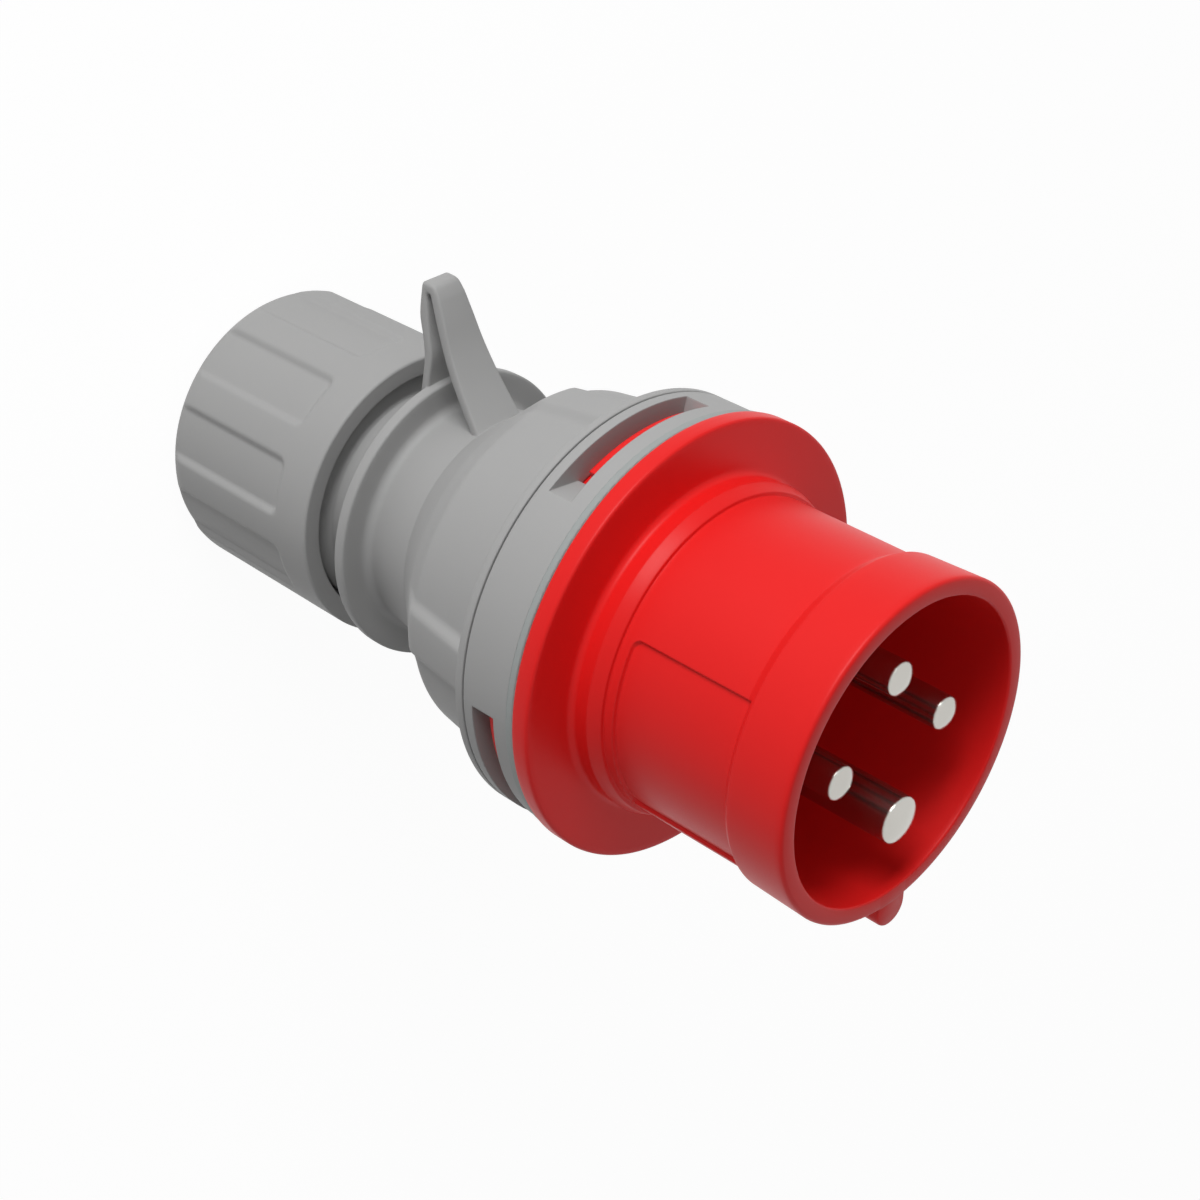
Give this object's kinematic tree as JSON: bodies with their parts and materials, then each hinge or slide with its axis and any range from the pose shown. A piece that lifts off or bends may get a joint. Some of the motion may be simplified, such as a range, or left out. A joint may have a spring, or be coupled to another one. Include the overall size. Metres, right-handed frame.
{
  "type": "industrial pin and sleeve plug",
  "caption": "Round industrial power plug: red sleeve with domed metal pins and a key, grey housing with a hanging loop, locking collar and a ribbed cable gland nut.",
  "frame": {"origin": "centre of the cable entry in the rear face of the gland nut, on which the plug stands", "axes": "+Z along the plug's axis from the cable entry to the pins, +Y from the axis to the earth pin and the key, -Y to the hanging loop"},
  "size_m": [0.0662, 0.0713, 0.1295],
  "materials": {
    "grey_plastic": "fine matt moulded grey plastic",
    "red_plastic": "satin moulded red plastic",
    "dark_plastic": "matt dark insulating plastic",
    "black_rubber": "soft black rubber",
    "pale_seal": "soft pale seal strip",
    "nickel": "nickel-plated brass, polished",
    "zinc_steel": "bright zinc-plated steel"
  },
  "bodies": {
    "gland_nut": {"gland_nut": "grey_plastic"},
    "thrust_ring": {"thrust_ring": "dark_plastic"},
    "housing": {"rear_housing": "grey_plastic", "locking_collar": "grey_plastic", "sealing_grommet": "black_rubber", "flange_seal": "pale_seal", "housing_seal": "black_rubber", "front_body": "red_plastic", "contact_carrier": "dark_plastic", "contact_retainer": "dark_plastic", "pin_l1": "nickel", "pin_l2": "nickel", "pin_l3": "nickel", "pin_earth": "nickel", "terminal_screw_l1": "zinc_steel", "terminal_screw_l2": "zinc_steel", "terminal_screw_l3": "zinc_steel", "terminal_screw_earth": "zinc_steel", "clamp_plate_l1": "zinc_steel", "clamp_plate_l2": "zinc_steel", "clamp_plate_l3": "zinc_steel", "clamp_plate_earth": "zinc_steel", "carrier_screw_1": "zinc_steel", "carrier_screw_2": "zinc_steel"}
  },
  "joints": [
    {"name": "gland_thread_turn", "type": "hinge", "parent": "gland_nut", "child": "thrust_ring", "pos_m": [0, 0, 0], "axis": [0, 0, 1], "range_deg": [0, 1620]},
    {"name": "gland_thread_travel", "type": "slide", "parent": "thrust_ring", "child": "housing", "axis": [0, 0, 1], "range_m": [0, 0.0135]}
  ],
  "couplings": [
    {"joint": "gland_thread_travel", "follows": "gland_thread_turn", "m_per_rad": 0.00047746}
  ]
}
